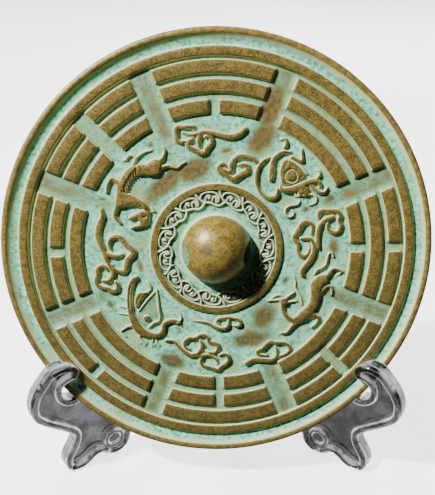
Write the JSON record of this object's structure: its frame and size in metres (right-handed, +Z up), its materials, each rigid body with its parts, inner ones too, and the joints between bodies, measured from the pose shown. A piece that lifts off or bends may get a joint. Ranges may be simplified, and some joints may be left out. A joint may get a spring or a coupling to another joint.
{
  "type": "ancient style bronze mirror on display legs",
  "caption": "Round cast bronze mirror with a pierced knob, trigrams, animals and clouds in relief, leaning on two clear display legs.",
  "frame": {"origin": "on the floor, under the middle of the whole object's box", "axes": "+Z up, +X to the viewer's right, the patterned side of the mirror faces -Y and leans back 15 degrees"},
  "size_m": [0.1498, 0.0486, 0.1586],
  "materials": {
    "patinated_bronze": "worn cast bronze with pale green patina in the hollows",
    "clear_plastic": "clear and glossy"
  },
  "bodies": {
    "root": {"mirror": "patinated_bronze", "display_leg_left": "clear_plastic", "display_leg_right": "clear_plastic"}
  },
  "joints": []
}
